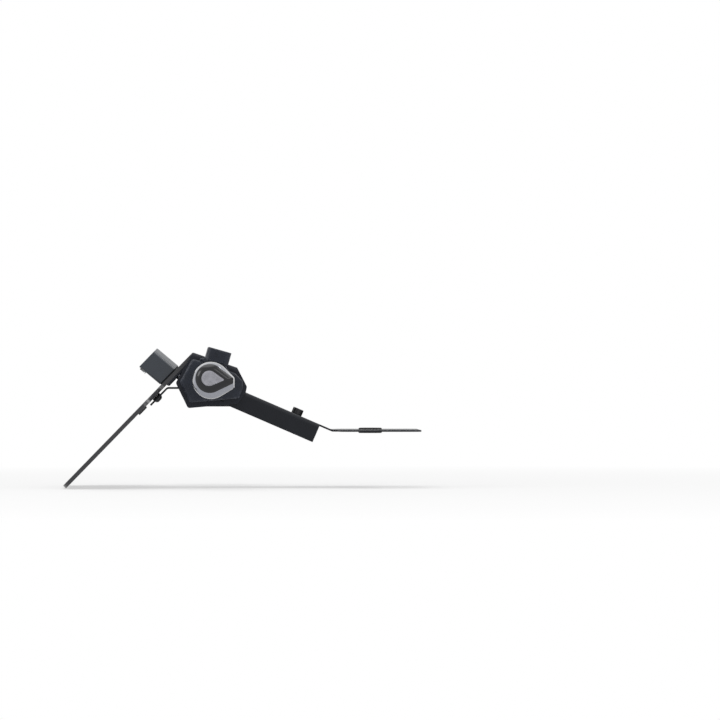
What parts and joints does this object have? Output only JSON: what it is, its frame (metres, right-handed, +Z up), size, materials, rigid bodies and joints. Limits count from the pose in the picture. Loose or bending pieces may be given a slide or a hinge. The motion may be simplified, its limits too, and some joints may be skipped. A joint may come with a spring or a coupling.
{
  "type": "motorbike tail tidy",
  "caption": "Folded bracket that hangs under a motorbike's tail and carries the registration plate, its lamp and the rear indicators.",
  "frame": {"origin": "centre of the four undertray bolt holes, on the top face of the front plate", "axes": "+X is the bike's front, +Y its left, +Z up; the part hangs behind and below the tail as it does on the bike"},
  "size_m": [0.3039, 0.281, 0.1201],
  "materials": {
    "powder_coat": "satin black powder coat",
    "carrier_coat": "satin black powder coat",
    "adapter": "satin dark grey moulding",
    "rubber": "matt black rubber",
    "gloss_black": "gloss black",
    "smoked_lens": "smoked clear lens",
    "badge": "satin light grey",
    "zinc": "bright zinc",
    "black_steel": "black oxide",
    "brass": "machined",
    "board": "green circuit board",
    "led_amber": "amber resin",
    "led_white": "yellow resin",
    "clear_lens": "clear lens",
    "lamp_body": "satin dark moulding"
  },
  "bodies": {
    "root": {"main_bracket": "powder_coat", "stay_spacers": "black_steel", "grommets": "rubber", "saddle": "powder_coat", "saddle_screws": "black_steel", "saddle_nuts": "zinc", "adapter_left": "adapter", "adapter_right": "adapter", "neck_inserts": "brass", "stem_left": "rubber", "stem_right": "rubber", "stem_studs": "zinc", "stem_washers": "zinc", "stem_nuts": "zinc", "housing_left": "gloss_black", "housing_right": "gloss_black", "lens_left": "smoked_lens", "lens_right": "smoked_lens", "end_cap_left": "gloss_black", "end_cap_right": "gloss_black", "end_badge_left": "badge", "end_badge_right": "badge", "led_board_left": "board", "led_board_right": "board", "leds_left": "led_amber", "leds_right": "led_amber", "plate_carrier": "carrier_coat", "carrier_nuts": "black_steel", "plate_nuts": "black_steel", "tab_screws": "black_steel", "lamp_housing": "lamp_body", "lamp_lens": "clear_lens", "lamp_board": "board", "lamp_leds": "led_white", "lamp_gasket": "rubber", "lamp_studs": "zinc", "lamp_washers": "zinc", "lamp_nuts": "zinc", "lamp_gland": "rubber"}
  },
  "joints": []
}
